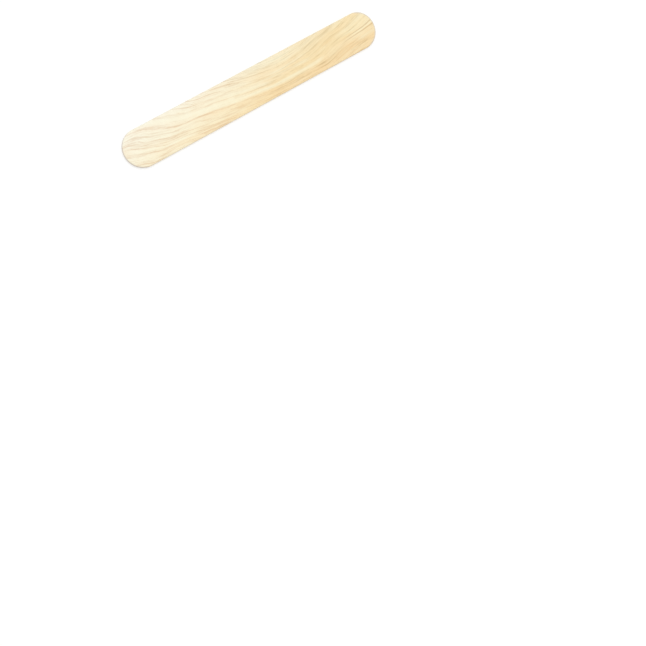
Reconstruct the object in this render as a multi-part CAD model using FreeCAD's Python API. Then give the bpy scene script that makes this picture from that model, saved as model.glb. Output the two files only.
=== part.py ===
"""A wooden paint stirring stick: one flat strip of birch veneer with full round ends.

The stick lies on its face, as it comes to rest. The origin is the middle of its underside, +X runs
along the stick and +Z points up. Sizes are in millimetres.
"""

import math
import os

import FreeCAD
import Part

# Driving dimensions
STICK_LENGTH = 150.0  # from tip to tip
STICK_WIDTH = 19.0  # between the two long edges
VENEER_THICKNESS = 2.0  # of the peeled sheet that the stick is punched from
SIDE_ROUNDING = 0.4  # radius that tumbling leaves along the long edges
TIP_ROUNDING = 0.6  # radius at the two tips, where tumbling wears more away

# The roundings of the two faces never meet, because this share of the thickness stays upright
LEAST_UPRIGHT_SHARE = 0.1

UP = FreeCAD.Vector(0, 0, 1)
QUARTER_TURN = math.pi / 2


def punched_outline():
    """The outline that the punch cuts: a half circle at each end, split at its tip, and two long edges."""
    end_radius = STICK_WIDTH / 2
    end_centre = STICK_LENGTH / 2 - end_radius
    edges = []
    for side, tip_angle in ((1, 0), (-1, math.pi)):
        end_circle = Part.Circle(FreeCAD.Vector(side * end_centre, 0, 0), UP, end_radius)
        shoulder = FreeCAD.Vector(side * end_centre, side * end_radius, 0)
        far_shoulder = FreeCAD.Vector(-side * end_centre, side * end_radius, 0)
        edges.append(Part.ArcOfCircle(end_circle, tip_angle - QUARTER_TURN, tip_angle).toShape())
        edges.append(Part.ArcOfCircle(end_circle, tip_angle, tip_angle + QUARTER_TURN).toShape())
        edges.append(Part.LineSegment(shoulder, far_shoulder).toShape())
    return Part.Wire(edges)


def punched_blank():
    """The stick as it leaves the punch, with sharp edges."""
    return Part.Face(punched_outline()).extrude(UP * VENEER_THICKNESS)


def rounding_at(corner):
    """The radius that tumbling leaves at one corner of the outline: a tip, or the end of a long edge."""
    most = VENEER_THICKNESS * (1 - LEAST_UPRIGHT_SHARE) / 2
    is_tip = abs(corner.Y) < STICK_WIDTH / 4
    return min(TIP_ROUNDING if is_tip else SIDE_ROUNDING, most)


def lies_in_a_face(edge):
    """Whether an edge of the blank runs round its top or underside, and isn't upright."""
    return math.isclose(edge.firstVertex().Z, edge.lastVertex().Z, abs_tol=VENEER_THICKNESS / 2)


def tumbled_stick():
    """The blank with the edges of both faces rounded, more and more from the long edges to the tips."""
    document = FreeCAD.newDocument("stick")
    blank = document.addObject("Part::Feature", "blank")
    blank.Shape = punched_blank()
    tumbled = document.addObject("Part::Fillet", "tumbled")
    tumbled.Base = blank
    tumbled.Edges = [
        (number, rounding_at(edge.firstVertex()), rounding_at(edge.lastVertex()))
        for number, edge in enumerate(blank.Shape.Edges, start=1)
        if lies_in_a_face(edge)
    ]
    document.recompute()
    return tumbled.Shape.Solids[0]


os.makedirs("parts", exist_ok=True)
tumbled_stick().exportStep("parts/stirring_stick.step")
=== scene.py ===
import math

import bmesh
import bpy
from mathutils import Matrix, Vector, noise


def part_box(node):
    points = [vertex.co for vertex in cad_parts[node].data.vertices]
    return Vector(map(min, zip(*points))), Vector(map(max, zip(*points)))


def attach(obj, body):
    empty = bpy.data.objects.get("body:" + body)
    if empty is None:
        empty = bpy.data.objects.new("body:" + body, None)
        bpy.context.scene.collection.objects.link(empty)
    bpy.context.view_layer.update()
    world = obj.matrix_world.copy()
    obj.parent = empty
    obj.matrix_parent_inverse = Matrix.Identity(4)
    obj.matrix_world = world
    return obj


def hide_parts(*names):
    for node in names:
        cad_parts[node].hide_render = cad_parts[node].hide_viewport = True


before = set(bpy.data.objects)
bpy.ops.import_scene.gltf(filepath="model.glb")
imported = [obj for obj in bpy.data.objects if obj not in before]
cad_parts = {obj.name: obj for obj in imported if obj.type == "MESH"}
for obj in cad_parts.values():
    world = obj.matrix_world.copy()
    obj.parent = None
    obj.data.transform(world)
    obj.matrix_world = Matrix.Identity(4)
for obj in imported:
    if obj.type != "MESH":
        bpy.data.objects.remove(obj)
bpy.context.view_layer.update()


# The stick: one strip of peeled birch veneer with full round ends, cut out with a punch. Tumbling in a
# drum has worn its edges round, most of all at the two tips. Nothing is joined to it or painted on it.
# Sizes here are in millimetres, until the mesh is brought to metres.
MILLIMETRE = 0.001
low_corner, high_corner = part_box("stirring_stick")
stick_length, stick_width, veneer_thickness = (high_corner - low_corner) / MILLIMETRE
end_radius = stick_width / 2
end_centre = stick_length / 2 - end_radius
mid_height = veneer_thickness / 2

side_rounding = 0.4
tip_rounding = 0.6
rounding_steps = 6
cells_along = 250
cells_across = 60
weld_distance = 0.0001

# Each bend of the grain: where it starts and ends along the stick, how far the grain falls over it towards
# -Y, and how much further along it lies for each millimetre towards +Y
grain_bends = [
    (-84, -56, 4.2, 2.2),
    (-62, -42, 2.6, 2.0),
    (-44, -4, 3.5, 1.6),
    (-18, 18, 2.8, 0.6),
    (20, 74, -3.2, -1.5),
    (33, 55, -1.6, -0.7),
    (64, 110, -5.3, -2.6),
]
# The annual rings lean: this many millimetres towards +Y for each one down into the wood
ring_lean = 1.4


def eased(share):
    """Rises softly from 0 to 1 as the share does."""
    share = min(max(share, 0), 1)
    return share * share * (3 - 2 * share)


def grain_level(x, y):
    """Which line of the grain passes through a point: its height over Y where no bend lowers it."""
    level = y
    for start, end, fall, slant in grain_bends:
        level += fall * eased((x - slant * y - start) / (end - start))
    return level


def worn_rounding(outward):
    """The radius of the edge where the outline faces this way. It grows evenly towards the tips."""
    from_tip = math.atan2(abs(outward.y), abs(outward.x)) / (math.pi / 2)
    return tip_rounding + (side_rounding - tip_rounding) * from_tip


def place_on_rounding(vertex, turn, height=None):
    """Puts a vertex on the worn edge: turn 0 is at the flat face, and turn 1 at the upright wall."""
    spine = Vector((min(max(vertex.co.x, -end_centre), end_centre), 0, 0))
    outward = vertex.co - spine
    outward.z = 0
    outward.normalize()
    rounding = worn_rounding(outward)
    angle = turn * math.pi / 2
    vertex.co = spine + outward * (end_radius - rounding * (1 - math.sin(angle)))
    vertex.co.z = mid_height - rounding * (1 - math.cos(angle)) if height is None else height


mesh = bmesh.new()
bmesh.ops.create_grid(mesh, x_segments=cells_along, y_segments=cells_across, size=1)
for vertex in mesh.verts:
    facing = vertex.co.y * math.pi / 2
    reach = end_radius - worn_rounding(Vector((math.cos(facing), math.sin(facing), 0)))
    row_end = end_centre + reach * math.cos(facing)
    vertex.co = (vertex.co.x * row_end, reach * math.sin(facing), mid_height)

rim = [edge for edge in mesh.edges if edge.is_boundary]
for step in range(1, rounding_steps + 1):
    ring = bmesh.ops.extrude_edge_only(mesh, edges=rim)["geom"]
    rim = [part for part in ring if isinstance(part, bmesh.types.BMEdge) and part.is_boundary]
    for vertex in (part for part in ring if isinstance(part, bmesh.types.BMVert)):
        place_on_rounding(vertex, step / rounding_steps)
wall = bmesh.ops.extrude_edge_only(mesh, edges=rim)["geom"]
for vertex in (part for part in wall if isinstance(part, bmesh.types.BMVert)):
    place_on_rounding(vertex, 1, height=0)
upper_half = mesh.verts[:] + mesh.edges[:] + mesh.faces[:]
bmesh.ops.mirror(mesh, geom=upper_half, merge_dist=weld_distance, axis="Z")
bmesh.ops.remove_doubles(mesh, verts=mesh.verts, dist=weld_distance)
bmesh.ops.recalc_face_normals(mesh, faces=mesh.faces)

# The hard late wood of each growth ring stands a hair above the soft early wood, which has shrunk. The
# dips follow the grain, narrow ones over broad ones, and run out before the rounded edge.
dip_depth = 0.03
mean_dip = 0.5
narrow_share, narrow_length, narrow_width = 0.35, 45, 1.6
broad_share, broad_length, broad_width = 0.5, 30, 6
broad_shift = 7
flat_rim = 0.7
run_out = 1.5
for vertex in mesh.verts:
    spine_x = min(max(vertex.co.x, -end_centre), end_centre)
    from_outline = end_radius - math.hypot(vertex.co.x - spine_x, vertex.co.y)
    level = grain_level(vertex.co.x, vertex.co.y) + ring_lean * (vertex.co.z - mid_height)
    narrow_spot = Vector((vertex.co.x / narrow_length, level / narrow_width, vertex.co.z))
    broad_spot = Vector((vertex.co.x / broad_length, level / broad_width, vertex.co.z + broad_shift))
    dip = mean_dip + narrow_share * noise.noise(narrow_spot) + broad_share * noise.noise(broad_spot)
    sunk = dip * dip_depth * eased((from_outline - flat_rim) / run_out)
    vertex.co.z -= math.copysign(max(sunk, 0), vertex.co.z)

bmesh.ops.translate(mesh, vec=(0, 0, mid_height), verts=mesh.verts)
bmesh.ops.scale(mesh, vec=(MILLIMETRE,) * 3, verts=mesh.verts)
for face in mesh.faces:
    face.smooth = True
stick_mesh = bpy.data.meshes.new("birch_stick")
mesh.to_mesh(stick_mesh)
mesh.free()
stick = bpy.data.objects.new("birch_stick", stick_mesh)
bpy.context.scene.collection.objects.link(stick)


def add_node(tree, kind, *feeds, **settings):
    """A new shader node. Each feed goes into the next input: a value, an output, or None to skip it."""
    node = tree.nodes.new("ShaderNode" + kind)
    for name, value in settings.items():
        setattr(node, name, value)
    for socket, feed in zip(node.inputs, feeds):
        if isinstance(feed, bpy.types.NodeSocket):
            tree.links.new(feed, socket)
        elif feed is not None:
            socket.default_value = feed
    return node


def reckon(tree, operation, *feeds):
    """One sum on values that change over the surface."""
    return add_node(tree, "Math", *feeds, operation=operation).outputs[0]


def fade(tree, value, start, end, at_start=0.0, at_end=1.0):
    """Goes softly from one value to another as the input goes from start to end."""
    ramp = add_node(tree, "MapRange", value, start, end, at_start, at_end, interpolation_type="SMOOTHSTEP")
    return ramp.outputs[0]


def blend(tree, how, share, under, over):
    """Lays one colour over another."""
    mix = add_node(tree, "Mix", data_type="RGBA", blend_type=how)
    for socket, feed in ((mix.inputs[0], share), (mix.inputs[6], under), (mix.inputs[7], over)):
        if isinstance(feed, bpy.types.NodeSocket):
            tree.links.new(feed, socket)
        else:
            socket.default_value = feed
    return mix.outputs[2]


def wood_noise(tree, place, cell, shift=0.0, detail=2.0, roughness=0.5):
    """A soft random pattern. The cell is its size in millimetres along the grain, across it and into
    the wood. The shift moves the pattern, so that no two are alike."""
    scale = tuple(1 / size for size in cell)
    mapped = add_node(tree, "Mapping", place, (shift, shift, shift), None, scale)
    return add_node(tree, "TexNoise", mapped.outputs[0], None, 1.0, detail, roughness).outputs[0]


# One streak of the grain, from one place along the stick to another, with soft ends and sides
streak_group = bpy.data.node_groups.new("grain_streak", "ShaderNodeTree")
streak_sizes = ("Line", "Start", "End", "Width", "Strength")
for name in ("Along", "Level") + streak_sizes:
    streak_group.interface.new_socket(name, in_out="INPUT", socket_type="NodeSocketFloat")
streak_group.interface.new_socket("Mask", in_out="OUTPUT", socket_type="NodeSocketFloat")
streak_in = streak_group.nodes.new("NodeGroupInput").outputs
soft_end = 10.0
from_line = reckon(streak_group, "SUBTRACT", streak_in["Level"], streak_in["Line"])
from_line = reckon(streak_group, "ABSOLUTE", from_line)
across = fade(streak_group, from_line, 0.0, streak_in["Width"], streak_in["Strength"], 0.0)
begun = reckon(streak_group, "SUBTRACT", streak_in["Along"], streak_in["Start"])
left = reckon(streak_group, "SUBTRACT", streak_in["End"], streak_in["Along"])
inside = fade(streak_group, reckon(streak_group, "MINIMUM", begun, left), -soft_end / 2, soft_end / 2)
streak_out = streak_group.nodes.new("NodeGroupOutput")
streak_group.links.new(reckon(streak_group, "MULTIPLY", across, inside), streak_out.inputs["Mask"])


def lay_streaks(tree, along, level, streaks):
    """A mask of several streaks, each given by its line, start, end, width and strength."""
    mask = 0.0
    for streak in streaks:
        node = add_node(tree, "Group")
        node.node_tree = streak_group
        tree.links.new(along, node.inputs["Along"])
        tree.links.new(level, node.inputs["Level"])
        for name, value in zip(streak_sizes, streak):
            node.inputs[name].default_value = value
        mask = reckon(tree, "MAXIMUM", mask, node.outputs["Mask"])
    return mask


birch = bpy.data.materials.new("birch_wood")
birch.use_nodes = True
wood = birch.node_tree
wood.nodes.clear()

place = add_node(wood, "TexCoord").outputs["Object"]
place = add_node(wood, "Mapping", place, None, None, (1 / MILLIMETRE,) * 3).outputs[0]
x, y, z = add_node(wood, "SeparateXYZ", place).outputs

# The level is the line of the grain at each place. It wanders a little, and its edges are ragged.
wander_reach = 0.5
ragged_reach = 0.4
level = y
for start, end, fall, slant in grain_bends:
    bent = reckon(wood, "MULTIPLY_ADD", y, -slant, x)
    level = reckon(wood, "ADD", level, fade(wood, bent, start, end, 0.0, fall))
lean = reckon(wood, "MULTIPLY_ADD", z, ring_lean, -ring_lean * veneer_thickness)
level = reckon(wood, "ADD", level, lean)
wander = wood_noise(wood, place, (22, 7, 12), 3.0)
level = reckon(wood, "MULTIPLY_ADD", reckon(wood, "SUBTRACT", wander, 0.5), wander_reach, level)
ragged = wood_noise(wood, place, (6, 1.4, 3), 13.0)
level = reckon(wood, "MULTIPLY_ADD", reckon(wood, "SUBTRACT", ragged, 0.5), ragged_reach, level)
grain = add_node(wood, "CombineXYZ", x, level, z).outputs[0]

# The annual rings: the wood darkens slowly towards the end of each year, and starts pale again at once
year_width = 1.75
year_unevenness = 3.2
spacing_noise = wood_noise(wood, grain, (60, 5.5, 5), 5.0)
year = reckon(wood, "DIVIDE", level, year_width)
year = reckon(wood, "MULTIPLY_ADD", spacing_noise, year_unevenness, year)
season = reckon(wood, "FRACT", year)
late_wood = reckon(wood, "MULTIPLY", fade(wood, season, 0.62, 0.92), fade(wood, season, 1.0, 0.95))
early_wood = reckon(wood, "MULTIPLY", fade(wood, season, 0.0, 0.06), fade(wood, season, 0.4, 0.06))
ring_strength = fade(wood, wood_noise(wood, grain, (26, 2.0, 5), 9.0), 0.36, 0.62, 0.1, 0.75)
ring_strength = reckon(wood, "MULTIPLY", ring_strength, fade(wood, x, 25.0, 50.0, 1.0, 0.5))
# In the upper middle the rings are faint, and close fine strands take their place
rings_lost = 0.55
strands_won = 1.0
close_grained = reckon(wood, "MULTIPLY", fade(wood, x, -22.0, -10.0), fade(wood, x, 16.0, 6.0))
close_grained = reckon(wood, "MULTIPLY", close_grained, fade(wood, y, -1.0, 3.0))
rings_left = reckon(wood, "MULTIPLY_ADD", close_grained, -rings_lost, 1.0)
ring_strength = reckon(wood, "MULTIPLY", ring_strength, rings_left)
ring_dark = reckon(wood, "MULTIPLY", late_wood, ring_strength)

# The grain's own patterns, from the broadest to the finest, and then the painted sheen, the clouds and the
# gaps
bands = wood_noise(wood, grain, (90, 4.2, 6), 11.0)
strands = wood_noise(wood, grain, (9, 0.36, 1.2), 17.0, 2.0, 0.6)
fibres = wood_noise(wood, grain, (15, 0.34, 0.7), 21.0, 3.0, 0.65)
hairs = wood_noise(wood, grain, (6, 0.12, 0.3), 31.0, 2.0, 0.6)
pores = wood_noise(wood, grain, (1.5, 0.12, 0.3), 41.0, 1.0)
flecks = wood_noise(wood, grain, (3.0, 0.45, 0.6), 51.0, 1.0)
painted_sheen = wood_noise(wood, place, (2.6, 8.0, 9.0), 61.0)
clouds = wood_noise(wood, place, (12.0, 4.5, 8.0), 71.0)
patchy = fade(wood, wood_noise(wood, grain, (8, 0.8, 4), 81.0), 0.36, 0.62, 0.35, 1.0)

# The streaks that show best: each one's line of the grain, its start and end along the stick, half its
# width, and its strength
dark_lines = [
    (18.8, -4, 18, 1.7, 0.6),
    (16.6, 32, 56, 1.7, 0.75),
    (18.5, 29, 43, 1.5, 0.6),
    (5.2, -34, -10, 1.5, 0.55),
    (-1.2, -70, -54, 1.5, 0.85),
    (-2.3, -76, -58, 1.6, 0.8),
    (2.0, -38, -18, 1.6, 0.95),
    (7.36, -56, -26, 0.5, 1.05),
    (5.85, -76, -33, 0.45, 1.5),
    (3.9, -80, -44, 2.6, 0.55),
    (4.29, -72, -44, 0.42, 1.0),
    (3.0, -66, -46, 0.58, 0.6),
    (0.79, -76, -62, 0.5, 0.9),
    (1.2, -66, -48, 0.5, 0.7),
    (10.54, -56, -28, 0.45, 0.95),
    (12.5, -38, -20, 0.43, 0.5),
    (12.07, -26, -12, 0.43, 0.5),
    (10.58, -27, 8, 0.4, 0.6),
    (7.6, -30, 30, 0.45, 0.55),
    (6.3, -6, 34, 1.5, 0.55),
    (12.85, 6, 32, 0.43, 0.6),
    (10.9, 3, 30, 0.58, 0.6),
    (18.6, 10, 26, 0.43, 0.5),
    (7.09, 36, 49, 0.6, 1.4),
    (11.86, 34, 46, 0.58, 0.55),
    (11.4, 31, 42, 2, 0.4),
    (10.4, 42, 52, 0.43, 0.9),
    (15.93, 42, 56, 0.43, 0.6),
    (16.6, 26, 39, 0.43, 0.45),
    (12.58, 55, 70, 0.34, 1.1),
    (13.16, 56, 66, 0.34, 0.9),
    (10.92, 58, 70, 0.34, 1.0),
    (6.82, 52, 63, 0.34, 0.8),
    (5.67, 52, 65, 0.34, 0.8),
    (4.5, 55, 68, 0.38, 1.0),
    (3.53, 55, 65, 0.36, 0.9),
]
# Three of the left end run on without a gap
unbroken_lines = [
    (8.1, -70, -53, 0.5, 0.5),
    (7.6, -59, -47, 0.45, 0.65),
    (5.8, -73, -44, 0.5, 1.15),
]
light_lines = [
    (9.6, -70, -50, 1.4, 0.95),
    (20.0, 8, 28, 1.6, 0.6),
    (8.6, -36, -8, 1.2, 0.95),
    (14.3, -18, 0, 1.5, 0.5),
    (3.1, 46, 62, 1.3, 0.35),
    (9.4, -54, -20, 1.3, 0.9),
    (9.3, -30, -4, 1.9, 0.9),
    (9.0, -14, 40, 1.5, 0.9),
    (8.8, 34, 52, 1.2, 0.3),
    (11.6, -18, 8, 2.0, 0.8),
    (5.4, 62, 80, 2.0, 0.6),
    (12.1, 52, 78, 1.5, 0.6),
    (10.1, -56, -34, 1.8, 0.75),
    (12.6, -62, -46, 1.6, 0.6),
    (1.75, -72, -40, 1.0, 0.8),
    (5.0, -62, -42, 0.6, 0.6),
    (6.6, -62, -42, 0.5, 0.5),
]
# Two hairline checks have opened from the right end, with a pale strip of wood between them
checks = [
    (9.03, 56, 62, 0.3, 0.7),
    (9.03, 61, 80, 0.32, 0.9),
    (7.86, 55, 80, 0.36, 1.0),
]
strip_between = [(8.45, 60, 80, 0.45, 0.9)]
dark_mask = reckon(wood, "MULTIPLY", lay_streaks(wood, x, level, dark_lines), patchy)
dark_mask = reckon(wood, "MAXIMUM", dark_mask, lay_streaks(wood, x, level, unbroken_lines))
# Beside the last bend of the grain lies a plain patch, where rings and strands hardly show, and above the
# middle lies a smaller one
plain = fade(wood, reckon(wood, "ADD", x, y), 27.0, 40.0)
plain = reckon(wood, "MULTIPLY", plain, fade(wood, x, 64.0, 52.0))
small_plain = reckon(wood, "MULTIPLY", fade(wood, x, -14.0, -3.0), fade(wood, x, 14.0, 5.0))
small_plain = reckon(wood, "MULTIPLY", small_plain, fade(wood, y, 0.5, 3.5))
plain = reckon(wood, "MAXIMUM", plain, small_plain)
figure_lost = 0.45
figured = reckon(wood, "MULTIPLY_ADD", plain, -figure_lost, 1.0)
pale_bands = fade(wood, wood_noise(wood, grain, (34, 1.9, 4), 91.0), 0.5, 0.68, 0.0, 0.5)
pale_bands = reckon(wood, "MULTIPLY", pale_bands, figured)
light_mask = reckon(wood, "MAXIMUM", lay_streaks(wood, x, level, light_lines), pale_bands)
light_mask = reckon(wood, "MULTIPLY", light_mask, reckon(wood, "MULTIPLY_ADD", patchy, 0.4, 0.6))
early_wood_light = 0.5
early_light = reckon(wood, "MULTIPLY", ring_strength, early_wood_light)
early_light = reckon(wood, "MULTIPLY", early_wood, early_light)
light_mask = reckon(wood, "MAXIMUM", light_mask, early_light)
light_mask = reckon(wood, "MAXIMUM", light_mask, lay_streaks(wood, x, level, strip_between))
check_dark = lay_streaks(wood, x, level, checks)

strand_dark = fade(wood, strands, 0.42, 0.70, 0.0, 0.6)
strands_there = reckon(wood, "MULTIPLY_ADD", close_grained, strands_won, 1.0)
strand_dark = reckon(wood, "MULTIPLY", strand_dark, strands_there)
fibre_dark = fade(wood, fibres, 0.45, 0.70, 0.0, 0.65)
hair_dark = fade(wood, hairs, 0.48, 0.70, 0.0, 0.5)
pore_dark = fade(wood, pores, 0.62, 0.72, 0.0, 0.6)

# The shade is the sum of all that is dark. Plain patches keep near the usual shade, and pale streaks
# lessen it.
usual_shade = 0.62
shade_gain = 1.08
shade_lost_in_light = 0.4
shade_offset = -0.45
shade = reckon(wood, "MAXIMUM", dark_mask, ring_dark)
for mask in (strand_dark, fibre_dark, hair_dark, pore_dark):
    shade = reckon(wood, "ADD", shade, mask)
shade = reckon(wood, "MULTIPLY_ADD", reckon(wood, "SUBTRACT", shade, usual_shade), figured, usual_shade)
gain = reckon(wood, "MULTIPLY_ADD", light_mask, -shade_lost_in_light, shade_gain)
shade = reckon(wood, "MULTIPLY_ADD", shade, gain, shade_offset)

# The sheet was peeled through pale sapwood at the left and golden heartwood at the right. The change runs
# slantwise, and so comes this many millimetres sooner along the stick for each one towards -Y.
heart_slant = 4.0
sapwood_end, heartwood_end = -100.0, 80.0
sapwood_colour = (0.992, 0.960, 0.812, 1)
heartwood_colour = (0.960, 0.758, 0.442, 1)
colours_between = (
    (0.25, (0.990, 0.935, 0.736, 1)),
    (0.50, (0.984, 0.869, 0.600, 1)),
    (0.75, (0.966, 0.792, 0.471, 1)),
)
heartward = reckon(wood, "MULTIPLY_ADD", y, -heart_slant, x)
heartward = add_node(wood, "MapRange", heartward, sapwood_end, heartwood_end, 0.0, 1.0).outputs[0]
tone = add_node(wood, "ValToRGB", heartward)
ramp = tone.color_ramp
ramp.elements[0].color = sapwood_colour
ramp.elements[1].position = 1.0
ramp.elements[1].color = heartwood_colour
for position, between in colours_between:
    stop = ramp.elements.new(position)
    stop.color = between
colour = tone.outputs[0]

# Dark streaks are reddish in the sapwood and a duller brown in the heartwood
sapwood_shade = (0.85, 0.745, 0.68, 1)
heartwood_shade = (0.745, 0.72, 0.655, 1)
sapwood_light = (1.0, 0.985, 0.80, 1)
heartwood_light = (1.0, 0.965, 0.70, 1)
light_cover = 0.68
band_tint = (0.995, 0.955, 0.925, 1)
cloud_tint = (0.99, 0.96, 0.93, 1)
check_tint = (0.78, 0.72, 0.66, 1)
painted_sheen_tint = (0.992, 0.985, 0.975, 1)
fleck_tint = (0.80, 0.66, 0.52, 1)
colour = blend(wood, "MULTIPLY", fade(wood, bands, 0.3, 0.7), colour, band_tint)
colour = blend(wood, "MULTIPLY", fade(wood, clouds, 0.4, 0.75), colour, cloud_tint)
heartwood = fade(wood, reckon(wood, "ADD", x, y), -22.0, 28.0)
shade_tone = blend(wood, "MIX", heartwood, sapwood_shade, heartwood_shade)
colour = blend(wood, "MULTIPLY", shade, colour, shade_tone)
light_tone = blend(wood, "MIX", heartward, sapwood_light, heartwood_light)
colour = blend(wood, "MIX", reckon(wood, "MULTIPLY", light_mask, light_cover), colour, light_tone)
colour = blend(wood, "MULTIPLY", check_dark, colour, check_tint)
# Painted sheen: soft patches a little darker and cooler stand in for the wood's silky sheen
colour = blend(wood, "MULTIPLY", fade(wood, painted_sheen, 0.4, 0.7), colour, painted_sheen_tint)
colour = blend(wood, "MULTIPLY", fade(wood, flecks, 0.80, 0.86), colour, fleck_tint)

# The rounded edge is greyed, partly by wear and partly as painted shade where it turns from the light,
# and the wall round the ends shows the cut ends of the fibres. Each of the two starts and is complete at a
# distance inside the outline.
worn_shade_start, worn_shade_full = 0.6, 0.15
wall_start, wall_full = 0.25, 0.02
worn_shade_tint = (0.95, 0.945, 0.97, 1)
end_grain_tint = (0.93, 0.88, 0.84, 1)
cut_fibre_tint = (0.86, 0.80, 0.74, 1)
over_end = reckon(wood, "SUBTRACT", reckon(wood, "ABSOLUTE", x), end_centre)
over_end = reckon(wood, "MAXIMUM", over_end, 0.0)
from_spine = reckon(wood, "MULTIPLY", y, y)
from_spine = reckon(wood, "MULTIPLY_ADD", over_end, over_end, from_spine)
from_spine = reckon(wood, "SQRT", from_spine)
worn_shaded_edge = fade(wood, from_spine, end_radius - worn_shade_start, end_radius - worn_shade_full)
wall_share = fade(wood, from_spine, end_radius - wall_start, end_radius - wall_full)
end_grain = reckon(wood, "MULTIPLY", wall_share, fade(wood, over_end, 0.5, end_radius))
# Painted shade and wear: the rounded edge is multiplied by a faint grey-lilac
colour = blend(wood, "MULTIPLY", worn_shaded_edge, colour, worn_shade_tint)
colour = blend(wood, "MULTIPLY", end_grain, colour, end_grain_tint)
fibre_ends = wood_noise(wood, place, (0.5, 0.22, 0.3), 95.0)
cut_fibres = reckon(wood, "MULTIPLY", end_grain, fade(wood, fibre_ends, 0.45, 0.68))
colour = blend(wood, "MULTIPLY", cut_fibres, colour, cut_fibre_tint)

# Handling wear and painted shade grey the rims of the two tips, most widely at the right one
left_reach, right_reach = 0.2, 0.65
reach_unevenness = 0.6
grey_fade = 0.5
grey_cover = 0.6
handled_and_shaded_grey = (0.69, 0.63, 0.56, 1)
worn_shade_reach = fade(wood, x, -40.0, 40.0, left_reach, right_reach)
rim_grey_noise = wood_noise(wood, place, (1.6, 1.0, 1.0), 101.0)
worn_shade_reach = reckon(wood, "MULTIPLY_ADD", rim_grey_noise, reach_unevenness, worn_shade_reach)
tip_wear_and_shade = fade(wood, reckon(wood, "ADD", from_spine, worn_shade_reach), end_radius, end_radius + grey_fade)
tip_wear_and_shade = reckon(wood, "MULTIPLY", tip_wear_and_shade, fade(wood, over_end, 0.5, 4.0))
# Painted shade with handling wear: the tip rims are mixed towards grey, where the rounding turns from the
# light
colour = blend(wood, "MIX", reckon(wood, "MULTIPLY", tip_wear_and_shade, grey_cover), colour, handled_and_shaded_grey)

# Bare wood is dull, and only the tumbled edge is a little smoother
smoothest, roughest = 0.58, 0.72
tumbled_polish = 0.08
shine = 0.35
roughness = fade(wood, fibres, 0.3, 0.7, smoothest, roughest)
roughness = reckon(wood, "MULTIPLY_ADD", worn_shaded_edge, -tumbled_polish, roughness)

# Fibres, hairs and pores are sunk, and the dark streaks stand up: these are shares of the relief's height
relief_height = 0.04
fibre_depth = 0.5
hair_depth = 0.3
pore_depth = 0.5
streak_height = 0.2
relief = reckon(wood, "MULTIPLY", fibres, -fibre_depth)
relief = reckon(wood, "MULTIPLY_ADD", hairs, -hair_depth, relief)
relief = reckon(wood, "MULTIPLY_ADD", pore_dark, -pore_depth, relief)
relief = reckon(wood, "MULTIPLY_ADD", dark_mask, streak_height, relief)
bump = add_node(wood, "Bump")
bump.inputs["Strength"].default_value = 1.0
bump.inputs["Distance"].default_value = relief_height * MILLIMETRE
wood.links.new(relief, bump.inputs["Height"])

shader = add_node(wood, "BsdfPrincipled")
shader.inputs["Specular IOR Level"].default_value = shine
wood.links.new(colour, shader.inputs["Base Color"])
wood.links.new(roughness, shader.inputs["Roughness"])
wood.links.new(bump.outputs[0], shader.inputs["Normal"])
surface = add_node(wood, "OutputMaterial")
wood.links.new(shader.outputs[0], surface.inputs["Surface"])

stick_mesh.materials.append(birch)
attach(stick, "root")
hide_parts("stirring_stick")


# The floor: a plain white table top, a good deal wider than the picture. It shows white under the lamp,
# and keeps the soft shadow of the stick. Its sizes are in metres.
floor_half_width = 6.0
floor_gap = 0.00002
seen_paint = (0.50, 0.50, 0.50, 1)
unseen_paint = (0.90, 0.90, 0.90, 1)
seen_glow = 0.54
mesh = bmesh.new()
bmesh.ops.create_grid(mesh, x_segments=1, y_segments=1, size=floor_half_width)
bmesh.ops.translate(mesh, vec=(0, 0, -floor_gap), verts=mesh.verts)
floor_mesh = bpy.data.meshes.new("floor")
mesh.to_mesh(floor_mesh)
mesh.free()
floor = bpy.data.objects.new("floor", floor_mesh)
bpy.context.scene.collection.objects.link(floor)

table = bpy.data.materials.new("white_table")
table.use_nodes = True
top = table.node_tree
top.nodes.clear()
rays = add_node(top, "LightPath").outputs
seen = reckon(top, "MAXIMUM", rays["Is Camera Ray"], rays["Is Glossy Ray"])
seen = reckon(top, "MAXIMUM", seen, rays["Is Transmission Ray"])
paint = blend(top, "MIX", seen, unseen_paint, seen_paint)
matt = add_node(top, "BsdfDiffuse", paint)
glow = add_node(top, "Emission", (1, 1, 1, 1), reckon(top, "MULTIPLY", seen, seen_glow))
both = add_node(top, "AddShader", matt.outputs[0], glow.outputs[0])
surface = add_node(top, "OutputMaterial")
top.links.new(both.outputs[0], surface.inputs["Surface"])
floor_mesh.materials.append(table)


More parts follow.
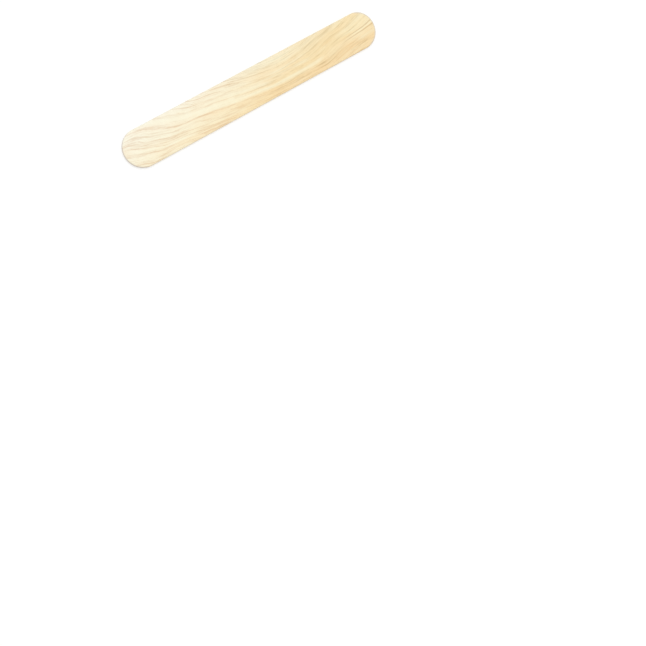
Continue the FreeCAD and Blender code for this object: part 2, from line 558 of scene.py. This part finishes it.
# The light: a white room, and one wide soft lamp beyond the top of the picture. The room is dimmer for
# the wood than it looks, so that the pale wood doesn't wash out.
room_level = 0.72
lamp_heading = math.radians(50)
lamp_height = math.radians(70)
lamp_spread = math.radians(30)
lamp_strength = 0.92
room = bpy.data.worlds.new("white_room")
bpy.context.scene.world = room
room.use_nodes = True
air = room.node_tree
air.nodes.clear()
rays = add_node(air, "LightPath").outputs
seen = reckon(air, "MAXIMUM", rays["Is Camera Ray"], rays["Is Transmission Ray"])
strength = reckon(air, "MULTIPLY_ADD", seen, 1.0 - room_level, room_level)
background = add_node(air, "Background", (1, 1, 1, 1), strength)
surface = add_node(air, "OutputWorld")
air.links.new(background.outputs[0], surface.inputs["Surface"])

lamp_light = bpy.data.lights.new("soft_lamp", "SUN")
lamp_light.angle = lamp_spread
lamp_light.energy = lamp_strength
lamp = bpy.data.objects.new("soft_lamp", lamp_light)
bpy.context.scene.collection.objects.link(lamp)
lamp.location = (
    math.cos(lamp_heading) * math.cos(lamp_height),
    math.sin(lamp_heading) * math.cos(lamp_height),
    math.sin(lamp_height),
)
lamp.rotation_euler = lamp.location.to_track_quat("Z", "Y").to_euler()


# The camera: held over the table and turned, so that the stick lies in the top left of the picture and
# rises to the right.
camera_place = Vector((-126.94, -37.34, 380.4)) * MILLIMETRE
looked_at = Vector((-30.05, -122.38, 0)) * MILLIMETRE
picture_up_heading = math.radians(59.2)
focal_length = 42
sensor_width = 36
nearest_seen = 0.01
backward = (camera_place - looked_at).normalized()
upward = Vector((math.cos(picture_up_heading), math.sin(picture_up_heading), 0))
upward = (upward - backward * upward.dot(backward)).normalized()
rightward = upward.cross(backward)
lens = bpy.data.cameras.new("camera")
lens.lens = focal_length
lens.sensor_width = sensor_width
lens.clip_start = nearest_seen
camera = bpy.data.objects.new("camera", lens)
turned = Matrix((rightward, upward, backward)).transposed().to_4x4()
camera.matrix_world = Matrix.Translation(camera_place) @ turned
bpy.context.scene.collection.objects.link(camera)
bpy.context.scene.camera = camera
bpy.context.scene.view_settings.view_transform = "Standard"
